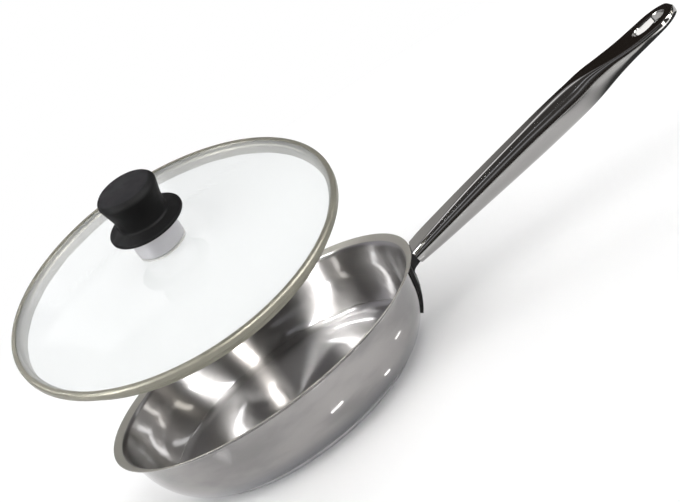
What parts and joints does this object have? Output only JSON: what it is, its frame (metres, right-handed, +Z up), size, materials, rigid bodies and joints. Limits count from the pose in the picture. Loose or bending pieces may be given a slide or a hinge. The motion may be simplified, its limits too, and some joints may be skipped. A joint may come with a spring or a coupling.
{
  "type": "frying pan with lid",
  "caption": "Stainless steel frying pan with a flared lip, a hollow handle and a domed glass lid with a black knob, held open.",
  "frame": {"origin": "centre of the base's underside, on the table", "axes": "+Z up out of the pan, +X from the pan's centre line towards the handle's end"},
  "size_m": [0.4751, 0.2444, 0.2003],
  "materials": {
    "polished_steel": "satin",
    "base_steel": "satin",
    "base_aluminium": "satin",
    "dark_steel": "satin",
    "handle_steel": "polished",
    "clear_glass": "gloss",
    "band_steel": "satin",
    "seal_rubber": "matte",
    "screw_steel": "satin",
    "insert_brass": "satin",
    "collar_steel": "satin",
    "black_plastic": "matte"
  },
  "bodies": {
    "pan": {"pan_body": "polished_steel", "base_core": "base_aluminium", "base_cap": "base_steel", "handle_bracket": "dark_steel", "handle_tube": "handle_steel"},
    "lid": {"lid_glass": "clear_glass", "lid_band": "band_steel", "upper_seal": "seal_rubber", "lower_seal": "seal_rubber", "screw_washer": "screw_steel", "knob_screw": "screw_steel", "knob_insert": "insert_brass", "knob_collar": "collar_steel", "knob_grip": "black_plastic"}
  },
  "joints": [
    {"name": "lid_lift", "type": "hinge", "parent": "pan", "child": "lid", "pos_m": [0.09225, -0.24158, 0.0921], "axis": [0.9251, 0.3533, 0.1392], "range_deg": [-18.7, 12]}
  ]
}
